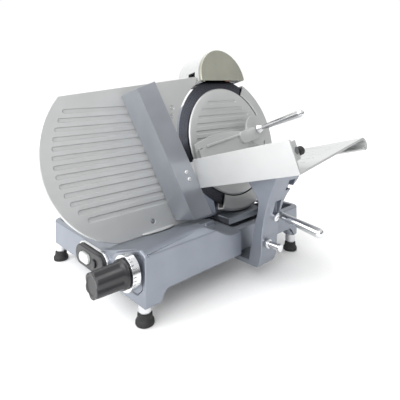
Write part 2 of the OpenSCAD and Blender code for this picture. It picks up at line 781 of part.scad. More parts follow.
module hone_button() {
    color([0.10, 0.10, 0.11])
    blade_frame() translate([stone_b[0], stone_b[1], 0]) {
        translate([0, 0, hood_rear - 12]) cylinder(r = 8, h = 11);
        translate([0, 0, hood_rear - 8]) cylinder(r = 4, h = 3 - hood_rear + 8);
        translate([0, 0, 2]) cylinder(r = 3, h = 8);
    }
}
module grind_stone() {
    color([0.85, 0.83, 0.78])
    blade_frame() translate([stone_a[0], stone_a[1], -14]) tube(20, 3 + fit, 6);
}
module hone_stone() {
    color([0.45, 0.30, 0.26])
    blade_frame() translate([stone_b[0], stone_b[1], 4.5]) tube(26, 3 + fit, 4.5);
}

// ---------- gauge plate ----------
gauge_grooves = 13;
gauge_groove_top = 91;
gauge_groove_pitch = 15.7;
gauge_groove_r = gauge_r - 22;
function groove_left(y) = gauge_cx - sqrt(pow(gauge_groove_r, 2) - pow(y - gauge_cy, 2));
function groove_right(y) = fence_x + 36 - y * tan(fence_lean);
module gauge_outline() {
    top_l = [-398, 119];
    top_r = [post_x - hood_r - 3, 156];
    difference() {
        intersection() {
            union() {
                translate([gauge_cx, gauge_cy]) circle(r = gauge_r, $fn = 180);
                translate([gauge_cx, gauge_low]) square([-gauge_cx, 320]);
            }
            polygon([[-460, gauge_low], [-118, gauge_low], [top_r[0], 60], top_r, top_l,
                [-460, top_l[1] - 8]]);
        }
        circle(r = blade_r + gauge_gap, $fn = 180);
    }
}
module gauge_plate() {
    color([0.80, 0.81, 0.81])
    blade_frame() difference() {
        union() {
            translate([0, 0, -gauge_t]) linear_extrude(gauge_t) gauge_outline();
            // curved lip on the lower edge
            intersection() {
                translate([-237, gauge_low, -44]) rotate([-90, 0, 0]) cylinder(r = 58, h = 3);
                translate([-285, gauge_low - 1, -1]) cube([96, 6, 30]);
            }
        }
        for (i = [0:gauge_grooves - 1])
            let(y = gauge_groove_top - gauge_groove_pitch * i, a = groove_left(y) + 3.5, b = groove_right(y))
            translate([(a + b) / 2, y, -2.2]) capsule(b - a, 3.5, 4);
        gauge_screw_places() translate([0, 0, -gauge_t - e]) cylinder(r = 2.6, h = gauge_t + 2 * e);
        gauge_screw_places() translate([0, 0, -2]) cylinder(r = 4.6, h = 4);
    }
}
module gauge_screw_places() {
    for (p = [[-153, 86], [-157, 68], [-247, gauge_low + 20]]) translate(p) children();
}
module gauge_screws() {
    color([0.85, 0.86, 0.88])
    blade_frame() gauge_screw_places() difference() {
        union() {
            translate([0, 0, -2]) cylinder(r = 4.4, h = 1.7);
            translate([0, 0, -gauge_t - 4]) cylinder(r = 2.5, h = gauge_t + 3);
        }
        translate([0, 0, -0.3]) cube([7, 1.2, 1.6], center = true);
    }
}
module gauge_slide() {
    z_back = -gauge_t;
    color([0.70, 0.71, 0.73])
    blade_frame() difference() {
        union() {
            translate([rod_x1 - 14, rod_y - 10, slide_z0]) cube([rod_x2 - rod_x1 + 28, 20, slide_len]);
            // leg under the plate and the upright behind it
            translate([-252, rod_y - 3, z_back - 12]) cube([24, 12, slide_z0 - z_back + 13]);
            translate([-252, rod_y - 3, z_back - 12]) cube([24, 72, 12]);
            for (p = [[-153, 86], [-157, 68]]) translate([p[0], p[1], z_back - 10]) cylinder(r = 7, h = 10);
            translate([-250, -105, z_back - 10]) rotate([0, 0, 60]) translate([0, -7, 0]) cube([225, 14, 8]);
            // finger that carries the cam pin
            translate([rod_x1 - 36, rod_y - 6, slide_z0 + 4]) cube([24, 12, 14]);
            translate([rod_x1 - 36, rod_y - 6, slide_z0 + 4]) cube([10, 12, 91]);
            translate([cam_x - blade_x - groove_d + 0.5, rod_y, pin_z]) rotate([0, 90, 0])
                cylinder(r = pin_r, h = 14);
        }
        for (x = [rod_x1, rod_x2]) translate([x, rod_y, slide_z0 - e])
            cylinder(r = rod_r + fit, h = slide_len + 2 * e);
        gauge_screw_places() translate([0, 0, z_back - 4]) cylinder(r = 2.5, h = 5);
    }
}
// place of the cam pin along the blade frame's Z
pin_z = -(knob_y - blade_y) * cos(lean) + (knob_z - axis_z) * sin(lean) - pin_start;
module gauge_rods() {
    color([0.84, 0.85, 0.87])
    blade_frame() for (x = [rod_x1, rod_x2]) translate([x, rod_y, rod_rear + 4])
        cylinder(r = rod_r, h = rod_front - rod_rear - 8);
}
module knob_axis() {
    translate([0, knob_y, knob_z]) children();
}
module knob_grip() {
    x1 = dial_x0 - dial_w;
    color([0.08, 0.08, 0.09])
    knob_axis() difference() {
        union() {
            translate([x1, 0, 0]) rotate([0, -90, 0]) rotate_extrude()
                polygon([[0, 0], [22, 0], [20, 6], [17.5, grip_len - 3], [15, grip_len], [0, grip_len]]);
            for (a = [0:60:300]) translate([x1 - 4, 0, 0]) rotate([a, 0, 0]) translate([0, 0, 16])
                rotate([0, -90, 0]) cylinder(r = 5, h = grip_len - 6);
        }
        translate([x1 - 30, 0, 0]) rod_x(0, 31, 5);
    }
}
module dial_ring() {
    x1 = dial_x0 - dial_w;
    color([0.88, 0.89, 0.90])
    knob_axis() difference() {
        rod_x(x1, dial_x0, dial_r);
        rod_x(x1 - e, dial_x0 + e, 5);
        rod_x(x1 + 4, dial_x0 + e, dial_r - 4);
        // graduation marks
        for (i = [0:29]) rotate([12 * i, 0, 0]) translate([x1 + 1, -0.35, dial_r - 0.5])
            cube([i % 5 == 0 ? 8 : 4.5, 0.7, 2]);
    }
}
module knob_shaft() {
    color([0.80, 0.81, 0.83])
    knob_axis() {
        rod_x(dial_x0 - dial_w - 28, cam_x - groove_d - 0.6, 5);
        rod_x(x_lo - pad_t - 5.5, x_lo + wall_t + 4, 7);
        difference() {
            rod_x(cam_x - cam_w, cam_x, cam_r);
            translate([cam_x - groove_d, 0, 0]) rotate([90, 0, 90]) linear_extrude(groove_d + e)
                spiral_groove();
        }
    }
}
// spiral slot: the radius grows evenly with the angle
function spiral_r(t) = pin_start + slice_max * t / knob_turn;
// half the width of the groove along a radius: wider where the spiral is steep, so the pin keeps its play
function groove_half(t) = (pin_r + 0.3) * sqrt(1 + pow(slice_max * 180 / (PI * knob_turn * spiral_r(t)), 2));
module spiral_groove() {
    from = -6;
    to = knob_turn + 6;
    step = (to - from) / spiral_steps;
    polygon(concat(
        [for (i = [0:spiral_steps]) let(t = from + step * i)
            (spiral_r(t) + groove_half(t)) * [cos(-lean - t), sin(-lean - t)]],
        [for (i = [spiral_steps:-1:0]) let(t = from + step * i)
            (spiral_r(t) - groove_half(t)) * [cos(-lean - t), sin(-lean - t)]]));
    for (t = [from, to]) translate(spiral_r(t) * [cos(-lean - t), sin(-lean - t)]) circle(r = pin_r + 0.5);
}

// ---------- carriage ----------
module carriage_rail() {
    color([0.86, 0.87, 0.89]) translate([0, rail_y, rail_z]) rod_x(x_lo + 8, x_hi - 8, rail_r);
}
module support_rail() {
    color([0.80, 0.81, 0.83])
    translate([x_lo + 8, bar_y - bar_s / 2, bar_z]) cube([base_l - 16, bar_s, bar_s]);
}
roller_x = arm_x0 + arm_w / 2;
foot_top = 43;
module carriage_block() {
    color([0.70, 0.71, 0.73])
    difference() {
        union() {
            translate([block_x0, rail_y - rail_r - 8, foot_top])
                cube([block_w, 2 * rail_r + 16, rail_z - foot_top + rail_r + 4]);
            // axle lug of the roller
            translate([roller_x - 7, bar_y + bar_s / 2 + 1.5, foot_top])
                cube([14, rail_y - rail_r - bar_y - bar_s / 2 - 9, bar_z - foot_top + bar_s + 14]);
            translate([roller_x, bar_y - 5, bar_z + bar_s + roller_r]) rotate([-90, 0, 0])
                cylinder(r = 3, h = 12);
        }
        translate([0, rail_y, rail_z]) rod_x(block_x0 - e, block_x0 + block_w + e, rail_r + fit);
    }
}
module carriage_roller() {
    color([0.90, 0.90, 0.88])
    translate([roller_x, bar_y - 4, bar_z + bar_s + roller_r]) rotate([-90, 0, 0]) tube(roller_r, 3 + fit, 8);
}
// side view of the arm in (Y, Z)
module arm_side() {
    y0 = y_lo;
    polygon([[rail_y + rail_r + 8, 34], [y0 - 25, 34], [y0 - 30, 40], [y0 - 35, 60], [y0 - 37, 97],
        [y0 - 42, 126], [y0 - 50, 155], [y0 - 73, 210], [y0 + 8, 210], [y0 - 5, 182], [y0 - 22, 160],
        [y0 - 28, 150], [y0 - 27, 133], [y0 - 22, 115], [y0 - 18, 97], [y0 - 10, 61], [y0 - 7, foot_top],
        [rail_y + rail_r + 8, foot_top]]);
}
// front view of the arm in (X, Z)
module arm_front() {
    polygon([[arm_x0, 0], [arm_x0 + arm_w - 2, 0], [arm_x0 + arm_w, 48], [arm_x0 + arm_w, 130],
        [arm_x0 + arm_w + 3, 144], [arm_x0 + arm_w + 10, 161], [arm_x0 + arm_w + 27, 185],
        [arm_x0 + arm_w + 32, 215], [arm_x0, 215]]);
}
module carriage_arm() {
    color([0.60, 0.61, 0.62])
    difference() {
        union() {
            intersection() {
                along_x(0, 120) arm_side();
                along_y(y_lo - 100, y_hi) arm_front();
            }
            // boss of the handle
            handle_axis() translate([0, 0, -22]) cylinder(r = 10.5, h = 20);
        }
        tray_frame() translate([-60, -tray_t, 0]) cube([400, 80, 400]);
        // hollow in the front face
        translate([arm_x0 + 24, y_lo - 60, 126]) cube([arm_w - 28, 24, 24]);
        translate([arm_x0 + 44, y_lo - 74, 168]) cube([20, 26, 18]);
        handle_axis() translate([0, 0, -16]) cylinder(r = 4, h = 20);
        handle_axis() translate([0, 0, -2]) cylinder(r = 12, h = 14);
        lock_axis() translate([0, 0, -12]) cylinder(r = 4 + fit, h = 30);
    }
}
module handle_axis() {
    translate([arm_x0 + arm_w + 4, y_lo - 41, 118]) rotate([90 + 8, 0, 0]) children();
}
module lock_axis() {
    translate([arm_x0 + 14, y_lo - 36, 77]) rotate([90, 0, 0]) children();
}
module carriage_handle() {
    color([0.82, 0.83, 0.85])
    handle_axis() {
        translate([0, 0, -16]) cylinder(r = 4, h = 17);
        rotate_extrude() polygon(concat([[0, -2], [6, -2], [6.5, 4]],
            [for (a = [0:15:90]) [8.5 * cos(a), 76 + 8.5 * sin(a)]]));
    }
    color([0.85, 0.86, 0.88]) translate([arm_x0 + arm_w - 14, y_lo - 41, 120])
        rotate([90 + atan2(5, 29), 0, 0]) difference() {
            cylinder(r = 7, h = 4);
            translate([0, 0, 2]) cylinder(r = 3, h = 4, $fn = 6);
        }
}
module tray_lock_knob() {
    color([0.84, 0.85, 0.87])
    lock_axis() {
        translate([0, 0, -11]) cylinder(r = 4, h = 14);
        translate([0, 0, 1]) cylinder(r = 8, h = 5);
        translate([0, 0, 6]) cylinder(r = 5.5, h = 20);
        translate([0, 0, 26]) cylinder(r = 6.5, h = 4);
    }
}
module tray_floor() {
    flat = tray_w - curl_r + 2;
    color([0.80, 0.80, 0.80])
    tray_frame() difference() {
        // flat floor with a rolled edge, a band a little thicker than the floor
        translate([0, 0, tray_z0]) linear_extrude(tray_d - tray_z0 + 8) {
            translate([0, -tray_t]) square([flat, tray_t]);
            translate([flat, -curl_r]) rotate(-18)
                arc_band(curl_r - tray_t - bead, tray_t + 2 * bead, 122);
        }
        // shallow grooves that keep the product from sticking
        for (i = [0:5]) translate([40 + 32 * i, 0, (tray_z0 + tray_d) / 2]) rotate([90, 90, 0])
            translate([0, 0, -1]) capsule(tray_d - 70, 2.5, 2.2);
    }
}
module tray_side_wall() {
    color([0.66, 0.66, 0.66])
    tray_frame() {
        translate([-tray_t, -tray_t, fence_z1])
            cube([tray_t, tray_wall_h + tray_t, tray_d + 8 - fence_z1]);
        // flange that carries the fence
        difference() {
            translate([-42, 0, flange_z - 4]) cube([42, tray_wall_h - 4, 4]);
            fence_screw_places_local() translate([0, 0, flange_z - 5]) cylinder(r = 2.5, h = 6);
        }
        translate([-tray_t, 9, flange_z - 4]) cube([tray_t, tray_wall_h - 13, 8]);
        // outer bracket of the pusher rod
        difference() {
            translate([0, 14, bracket_z]) cube([rod_px + 9, 32, 7]);
            translate([rod_px, rod_py, bracket_z - e]) cylinder(r = rod_pr, h = 9);
        }
    }
}
// screws of the fence, in the tray frame
module fence_screw_places_local() {
    for (p = [[-24, 20], [-26, 34]]) translate([p[0], p[1], 0]) children();
}
module product_fence() {
    slant = tan(fence_lean);
    color([0.72, 0.74, 0.76])
    difference() {
        fence_frame() {
            translate([0, 0, fence_z0]) linear_extrude(fence_z1 - fence_z0)
                polygon([[0, -fence_low], [fence_t, -fence_low - fence_t * slant], [fence_t, fence_top],
                    [0, fence_top]]);
            translate([0, 0, fence_z1 - fence_t]) linear_extrude(fence_t)
                polygon([[0, -fence_low], [fence_flange, -fence_low - fence_flange * slant],
                    [fence_flange, fence_top], [0, fence_top]]);
        }
        tray_frame() fence_screw_places_local() translate([0, 0, flange_z - e])
            cylinder(r = 2.5, h = fence_t + 2 * e);
    }
}
module fence_screws() {
    color([0.86, 0.87, 0.89])
    tray_frame() fence_screw_places_local() {
        translate([0, 0, fence_z1]) rotate_extrude()
            polygon(concat([[0, 0]], [for (a = [0:15:90]) [4.2 * cos(a), 2.2 * sin(a)]]));
        translate([0, 0, flange_z - 5]) cylinder(r = 2.4, h = 5 + fence_t);
    }
}
module pusher_rod() {
    color([0.86, 0.87, 0.89])
    tray_frame() {
        translate([rod_px, rod_py, post_z0]) cylinder(r = rod_pr, h = bracket_z - post_z0 + 10);
        // post on the tray floor
        difference() {
            union() {
                translate([rod_px - 9, 0, post_z0]) cube([18, rod_py, post_t]);
                translate([rod_px, rod_py, post_z0]) cylinder(r = 9, h = post_t);
            }
            translate([rod_px, rod_py, post_z0 - e]) cylinder(r = rod_pr - e, h = post_t + 2 * e);
        }
    }
}
module rod_bumper() {
    color([0.06, 0.06, 0.07])
    tray_frame() {
        translate([rod_px + 9, rod_py - 4, bracket_z + 3.5]) rotate([0, 90, 0]) cylinder(r = 7.5, h = 12);
        translate([rod_px + 21, rod_py - 4, bracket_z + 3.5]) rotate([0, 90, 0]) cylinder(r = 6, h = 2);
    }
}
module pusher_bush() {
    color([0.80, 0.68, 0.42])
    tray_frame() translate([rod_px, rod_py, bush_z0]) difference() {
        union() {
            cylinder(r = bush_r, h = bush_len);
            translate([0, 0, bush_len - 2]) cylinder(r = sleeve_r - 1, h = 2);
        }
        translate([0, 0, -e]) cylinder(r = rod_pr + fit, h = bush_len + 2 * e);
    }
}
module pusher_sleeve() {
    len = bush_len - 2.2 - (push_z - bush_z0);
    color([0.74, 0.75, 0.77])
    tray_frame() difference() {
        union() {
            translate([rod_px, rod_py, push_z]) cylinder(r = sleeve_r, h = len);
            // arm behind the plate and the boss on its top
            translate([rod_px, rod_py - 9, push_z + push_t]) cube([46, 18, 9]);
            translate([rod_px + 9, rod_py + 5, push_z + push_t]) cube([12, 29, 9]);
            translate([rod_px + 15, rod_py + 33, push_z + push_t]) rotate([-90, 0, 0])
                translate([0, -4.5, -2]) cylinder(r = 4.5, h = 6);
        }
        translate([rod_px, rod_py, push_z - e]) cylinder(r = bush_r + fit, h = len + 2 * e);
    }
}
module pusher_outline() {
    difference() {
        intersection() {
            translate([push_x0, push_low]) square([push_w, push_h]);
            translate([push_x0 + 0.42 * push_w, push_h - arch_r]) circle(r = arch_r, $fn = 180);
        }
        translate([rod_px, rod_py]) circle(r = sleeve_r + 1);
    }
}
module pusher_plate() {
    color([0.76, 0.77, 0.79])
    tray_frame() {
        translate([0, 0, push_z]) linear_extrude(push_t) pusher_outline();
        // stiffening rib
        translate([push_x0 + 30, 64, push_z + push_t - 1]) cube([push_w - 40, 4, 6]);
        // elbow that carries the hand guard
        difference() {
            translate([(push_x0 + push_w + guard_x) / 2 - 10, guard_y - 6, push_z + push_t - 1])
                capsule(guard_x - push_x0 - push_w, 14, 8);
            translate([guard_x, guard_y, push_z]) cylinder(r = 6, h = 20);
        }
        translate([guard_x, guard_y, push_z]) tube(guard_r, 6, 4);
        // teeth that grip the product
        for (i = [0:9], j = [0:3]) translate([push_x0 + 16 + 15 * i, 16 + 14 * j, push_z - 6])
            cylinder(r1 = 0.6, r2 = 2.5, h = 6.5);
    }
}
module pusher_handle() {
    color([0.84, 0.85, 0.87])
    tray_frame() translate([guard_x, guard_y, push_z + push_t + 7.2]) rotate([-5, 4, 0])
        rotate_extrude() polygon(concat([[0, 0.8], [10, 0.8], [5, 12], [6.5, 30]],
            [for (a = [0:15:90]) [9.5 * cos(a), 118 + 9.5 * sin(a)]]));
    color([0.84, 0.85, 0.87])
    tray_frame() translate([guard_x, guard_y, push_z + 1]) cylinder(r = 5.9, h = 12);
}

machine() base_casting();
machine() bottom_plate();
machine() bottom_plate_screws();
machine() foot_stems();
machine() foot_pads();
machine() switch_housing();
machine() switch_bezel();
machine() start_button();
machine() stop_button();
machine() cable_gland();
machine() control_board();
machine() motor_capacitor();
machine() blade_housing();
machine() housing_rear_cover();
machine() motor_cover();
machine() motor_body();
machine() motor_pulley();
machine() drive_belt();
machine() blade_pulley();
machine() blade_shaft();
machine() hub_bearings();
machine() blade();
machine() blade_screws();
machine() blade_cover();
machine() cover_tie_bolt();
machine() cover_knob();
machine() ring_guard();
machine() slice_deflector();
machine() sharpener_post();
machine() sharpener_body();
machine() sharpener_hood();
machine() sharpener_lock_knob();
machine() grind_button();
machine() grind_stone();
machine() hone_button();
machine() hone_stone();
machine() gauge_plate();
machine() gauge_screws();
machine() gauge_slide();
machine() gauge_rods();
machine() knob_grip();
machine() dial_ring();
machine() knob_shaft();
machine() carriage_rail();
machine() support_rail();
machine() carriage_block();
machine() carriage_roller();
machine() carriage_arm();
machine() carriage_handle();
machine() tray_lock_knob();
machine() tray_floor();
machine() tray_side_wall();
machine() product_fence();
machine() fence_screws();
machine() pusher_rod();
machine() pusher_bush();
machine() pusher_sleeve();
machine() pusher_plate();
machine() pusher_handle();
machine() rod_bumper();
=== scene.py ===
"""Looks of a gravity-feed deli meat slicer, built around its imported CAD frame."""

import json
import math

import bmesh
import bpy
import numpy as np
from mathutils import Matrix, Vector


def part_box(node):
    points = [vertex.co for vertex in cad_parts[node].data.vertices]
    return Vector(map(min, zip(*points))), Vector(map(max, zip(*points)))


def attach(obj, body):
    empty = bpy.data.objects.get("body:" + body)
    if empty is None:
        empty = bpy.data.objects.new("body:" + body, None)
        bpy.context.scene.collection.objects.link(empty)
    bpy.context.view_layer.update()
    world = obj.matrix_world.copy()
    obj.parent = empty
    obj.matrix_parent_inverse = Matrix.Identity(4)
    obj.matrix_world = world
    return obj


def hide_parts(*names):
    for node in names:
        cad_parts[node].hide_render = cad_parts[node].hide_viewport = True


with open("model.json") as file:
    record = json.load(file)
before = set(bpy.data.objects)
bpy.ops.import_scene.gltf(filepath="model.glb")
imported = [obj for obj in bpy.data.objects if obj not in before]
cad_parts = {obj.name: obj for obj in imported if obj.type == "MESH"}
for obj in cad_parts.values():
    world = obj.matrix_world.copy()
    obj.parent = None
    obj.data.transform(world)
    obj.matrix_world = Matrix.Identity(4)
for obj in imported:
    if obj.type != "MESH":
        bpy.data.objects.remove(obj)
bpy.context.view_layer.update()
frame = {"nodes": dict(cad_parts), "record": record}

bl_info = {
    "name": "Deli Meat Slicer",
    "version": (1, 0, 0),
    "blender": (4, 5, 0),
    "location": "3D View > Sidebar > Slicer",
    "description": "Builds the finished surfaces and materials of a deli meat slicer around its frame",
    "category": "Object",
}

MM = 0.001
RECORD = frame["record"]
JOINTS = {joint["name"]: joint for joint in RECORD["behaviour"]["joints"]}
BODY_OF = {node: body for body, nodes in RECORD["behaviour"]["bodies"].items() for node in nodes}
SLOT_OF = {part["node"]: part["material_slot"] for part in RECORD["subparts"]}


# ---------- frames ----------

def unit(vector):
    """The vector at length one."""
    vector = np.asarray(vector, float)
    return vector / np.linalg.norm(vector)


class Place:
    """A local frame. Points given in it in millimetres come out in metres in the CAD frame."""

    def __init__(self, origin, x_axis, y_axis):
        self.origin = np.asarray(origin, float)
        x_axis, y_axis = unit(x_axis), unit(y_axis)
        self.axes = np.array([x_axis, y_axis, np.cross(x_axis, y_axis)])

    def __call__(self, points):
        return self.origin + np.asarray(points, float) * MM @ self.axes

    def euler(self):
        """The frame's turn as Euler angles."""
        return Matrix(self.axes.T.tolist()).to_euler()


BLADE = Place(JOINTS["blade_spin"]["pos_m"], (1, 0, 0), JOINTS["sharpener_lift"]["axis"])
KNOB_AXIS = JOINTS["knob_turn"]["pos_m"]
WORLD = Place((0, 0, 0), (1, 0, 0), (0, 1, 0))


# ---------- colours and nodes ----------

BLEND_SPAN = (0.3, 0.7)        # part of a noise over which one colour gives way to the next


def linear(hex_colour):
    """sRGB hex to linear RGB: the usual power curve with its straight foot."""
    parts = [int(hex_colour[i:i + 2], 16) / 255 for i in (1, 3, 5)]
    return tuple(c / 12.92 if c <= 0.04045 else ((c + 0.055) / 1.055) ** 2.4 for c in parts)


def add(owner, kind, settings=None, **inputs):
    """Adds one shader node to a material or a world. Settings are its properties; inputs are values or
    sockets to link."""
    node = owner.node_tree.nodes.new(kind)
    for key, value in (settings or {}).items():
        setattr(node, key, value)
    for key, value in inputs.items():
        socket = node.inputs[int(key[1:])] if key[1:].isdigit() else node.inputs[key.replace("_", " ")]
        if isinstance(value, bpy.types.NodeSocket):
            owner.node_tree.links.new(value, socket)
        else:
            socket.default_value = value
    return node


def new_material(name):
    """An empty node material."""
    material = bpy.data.materials.new(name)
    material.use_nodes = True
    material.node_tree.nodes.clear()
    return material


def close(material, shader):
    """Joins the shader to the output and gives the material back."""
    out = add(material, "ShaderNodeOutputMaterial")
    material.node_tree.links.new(shader.outputs[0], out.inputs["Surface"])
    return material


def rgba(colour, factor=1.0):
    """A colour scaled by a factor, with full alpha."""
    return (*[min(1.0, c * factor) for c in colour[:3]], 1.0)


def object_point(material, place=WORLD, stretch=(1, 1, 1)):
    """Object coordinates seen from a local frame, with a stretch along its axes."""
    coord = add(material, "ShaderNodeTexCoord")
    seen = add(material, "ShaderNodeMapping", {"vector_type": "TEXTURE"}, Vector=coord.outputs["Object"],
               Location=tuple(place.origin), Rotation=tuple(place.euler()))
    return add(material, "ShaderNodeMapping", Vector=seen.outputs[0], Scale=stretch).outputs[0]


def noise(material, point, size_mm, detail=3.0, rough=0.55):
    """Noise whose lumps are size_mm across."""
    return add(material, "ShaderNodeTexNoise", Vector=point, Scale=1 / (size_mm * MM), Detail=detail,
               Roughness=rough).outputs["Fac"]


def blend_colours(material, factor, dark, light):
    """Runs from one colour to the other over the middle part of the factor."""
    ramp = add(material, "ShaderNodeValToRGB", Fac=factor)
    for element, position, colour in zip(ramp.color_ramp.elements, BLEND_SPAN, (dark, light)):
        element.position = position
        element.color = rgba(colour)
    return ramp.outputs["Color"]


def tinted(material, factor, paint, low, high):
    """The paint, scaled from low to high by the factor."""
    return blend_colours(material, factor, [c * low for c in paint], [c * high for c in paint])


def rings_about_blade(material, point, ring_mm):
    """Fine noise that runs with the distance from the blade axis."""
    radius = add(material, "ShaderNodeVectorMath", {"operation": "LENGTH"}, _0=point).outputs["Value"]
    return add(material, "ShaderNodeTexNoise", {"noise_dimensions": "1D"}, W=radius,
               Scale=1 / (ring_mm * MM), Detail=2.0).outputs["Fac"]


def surface(material, colour, metallic, roughness, height, strength, depth_mm, **more):
    """Ends a material: a bump from the height, under a principled shader."""
    bump = add(material, "ShaderNodeBump", Strength=strength, Distance=depth_mm * MM, Height=height)
    shader = add(material, "ShaderNodeBsdfPrincipled", Base_Color=colour, Metallic=metallic,
                 Roughness=roughness, Normal=bump.outputs[0], **more)
    return close(material, shader)


def spread(material, factor, low, high):
    """Stretches a 0 to 1 factor to run from low to high."""
    return add(material, "ShaderNodeMapRange", Value=factor, To_Min=low, To_Max=high).outputs[0]


# ---------- materials ----------

MADE = {}                      # slot: its finished material

# Millimetres above the blade axis, and the share of the blade's colour there: a painted reflection of the
# dark hood above the blade, set into the colour by height.
BLADE_PAINTED_REFLECTION = ((-150, 0.12), (-60, 0.42), (36, 0.62), (90, 0.5), (150, 0.05))


def cast_aluminium(paint):
    """Pressure-cast aluminium, shot-blasted and anodised: a satin skin with a fine grain and faint clouds."""
    material = new_material("cast_aluminium_anodised")
    point = object_point(material)
    clouds = noise(material, point, 55)
    grain = noise(material, point, 0.9, 2.0)         # blast grain, drawn three times too coarse
    return surface(material, tinted(material, clouds, paint, 0.93, 1.06), 0.78,
                   spread(material, clouds, 0.36, 0.46), grain, 0.10, 0.3)


def anodised_plate(paint):
    """Machined and anodised aluminium plate: pale satin, with faint straight machining lines."""
    material = new_material("anodised_aluminium_plate")
    lines = noise(material, object_point(material, BLADE, (0.03, 1, 1)), 0.8, 2.0)
    clouds = noise(material, object_point(material, BLADE), 90)
    return surface(material, tinted(material, clouds, paint, 0.95, 1.04), 0.55,
                   spread(material, lines, 0.40, 0.48), lines, 0.06, 0.2)


def brushed_sheet(paint):
    """Stainless sheet with a directional brushed grain: long soft streaks across the highlights."""
    material = new_material("stainless_brushed_sheet")
    streaks = noise(material, object_point(material, BLADE, (1, 0.02, 1)), 0.7, 2.0)
    clouds = noise(material, object_point(material), 60)
    return surface(material, tinted(material, clouds, paint, 0.94, 1.05), 0.8,
                   spread(material, streaks, 0.28, 0.36), streaks, 0.02, 0.2)


def hood_finish(paint):
    """Warm grey anodised casting of the sharpener: a little smoother than the base."""
    material = new_material("warm_anodised_casting")
    clouds = noise(material, object_point(material), 40)
    grain = noise(material, object_point(material), 0.8, 2.0)
    return surface(material, tinted(material, clouds, paint, 0.94, 1.05), 0.70,
                   spread(material, clouds, 0.34, 0.42), grain, 0.08, 0.3)


def turned_steel(paint):
    """Steel turned on a lathe: fine rings about the blade axis that streak the highlight."""
    material = new_material("turned_steel")
    rings = rings_about_blade(material, object_point(material, BLADE, (1, 1, 0)), 0.7)
    clouds = noise(material, object_point(material), 45)
    return surface(material, tinted(material, clouds, paint, 0.94, 1.04), 1.0,
                   spread(material, rings, 0.25, 0.36), rings, 0.05, 0.1)


def blade_with_painted_reflection(paint):
    """Hard-chromed blade: fine grinding rings, and a painted reflection in its colour: near black under the
    hood, blue-grey in the middle and grey low down, standing in for the dark hood that it mirrors."""
    material = new_material("blade_steel_painted_reflection")
    point = object_point(material, BLADE)
    apart = add(material, "ShaderNodeSeparateXYZ", Vector=point)
    low, high = BLADE_PAINTED_REFLECTION[0][0], BLADE_PAINTED_REFLECTION[-1][0]
    height = add(material, "ShaderNodeMapRange", Value=apart.outputs["Y"], From_Min=low * MM,
                 From_Max=high * MM)
    # Painted reflection: the blade's colour runs with the height above its axis, in place of the dark hood it
    # would mirror.
    ramp = add(material, "ShaderNodeValToRGB", Fac=height.outputs[0])
    for above_axis, factor in BLADE_PAINTED_REFLECTION[1:-1]:
        ramp.color_ramp.elements.new((above_axis - low) / (high - low)).color = rgba(paint, factor)
    ramp.color_ramp.elements[0].color = rgba(paint, BLADE_PAINTED_REFLECTION[0][1])
    ramp.color_ramp.elements[-1].color = rgba(paint, BLADE_PAINTED_REFLECTION[-1][1])
    flat = add(material, "ShaderNodeVectorMath", {"operation": "MULTIPLY"}, _0=point, _1=(1, 1, 0))
    rings = rings_about_blade(material, flat.outputs[0], 0.5)
    return surface(material, ramp.outputs["Color"], 1.0, spread(material, rings, 0.22, 0.34), rings,
                   0.05, 0.1)


def polished_steel(paint):
    """Bright plated steel: nearly a mirror, with hairline rub marks and faint fingermarks."""
    material = new_material("bright_plated_steel")
    smears = noise(material, object_point(material), 18)
    hair = noise(material, object_point(material, WORLD, (1, 0.1, 1)), 0.5, 1.0)
    return surface(material, tinted(material, smears, paint, 0.95, 1.0), 1.0,
                   spread(material, smears, 0.12, 0.24), hair, 0.03, 0.1)


def black_rubber(paint):
    """Moulded nitrile rubber: matt black with a dusty bloom."""
    material = new_material("nitrile_rubber")
    bloom = noise(material, object_point(material), 6)
    pores = noise(material, object_point(material), 0.7, 2.0)
    colour = blend_colours(material, bloom, paint, [c * 1.8 + 0.004 for c in paint])
    return surface(material, colour, 0.0, spread(material, bloom, 0.55, 0.78), pores, 0.2, 0.3, IOR=1.52)


def moulded_plastic(name, paint, rough):
    """Injection-moulded nylon with a spark-eroded skin: broad soft highlights over a fine pebble."""
    material = new_material(name)
    pebble = add(material, "ShaderNodeTexVoronoi", Vector=object_point(material),
                 Scale=1 / (0.9 * MM)).outputs["Distance"]
    clouds = noise(material, object_point(material), 15)
    return surface(material, tinted(material, clouds, paint, 0.85, 1.15), 0.0,
                   spread(material, clouds, rough - 0.06, rough + 0.06), pebble, 0.12, 0.2, IOR=1.53)


def abrasive_stone(name, paint):
    """Vitrified grinding stone: open grain of pale and dark crystals."""
    material = new_material(name)
    grit = add(material, "ShaderNodeTexVoronoi", Vector=object_point(material),
               Scale=1 / (0.8 * MM)).outputs["Distance"]
    return surface(material, tinted(material, grit, paint, 0.6, 1.25), 0.0, 0.9, grit, 0.6, 0.4)


def sintered_bronze(paint):
    """Oil-filled sintered bronze: warm, speckled with pores."""
    material = new_material("sintered_bronze")
    pores = noise(material, object_point(material), 0.8)
    shader = add(material, "ShaderNodeBsdfPrincipled", Base_Color=tinted(material, pores, paint, 0.6, 1.0),
                 Metallic=1.0, Roughness=spread(material, pores, 0.35, 0.5))
    return close(material, shader)


def motor_enamel(paint):
    """Dipped enamel on sheet steel: orange-peel gloss."""
    material = new_material("motor_enamel")
    peel = noise(material, object_point(material), 3.0, 1.0)
    clouds = noise(material, object_point(material), 30)
    return surface(material, tinted(material, clouds, paint, 1.0, 1.3), 0.0, 0.35, peel, 0.2, 0.3)


def solder_mask(paint):
    """Glass-fibre circuit board under green solder mask, with copper tracks just visible."""
    material = new_material("solder_mask_board")
    tracks = add(material, "ShaderNodeTexBrick", Vector=object_point(material), Scale=1 / (12 * MM),
                 Color1=rgba(paint), Color2=rgba(paint, 1.3), Mortar=rgba(paint, 1.9))
    shader = add(material, "ShaderNodeBsdfPrincipled", Base_Color=tracks.outputs["Color"], Roughness=0.3)
    return close(material, shader)


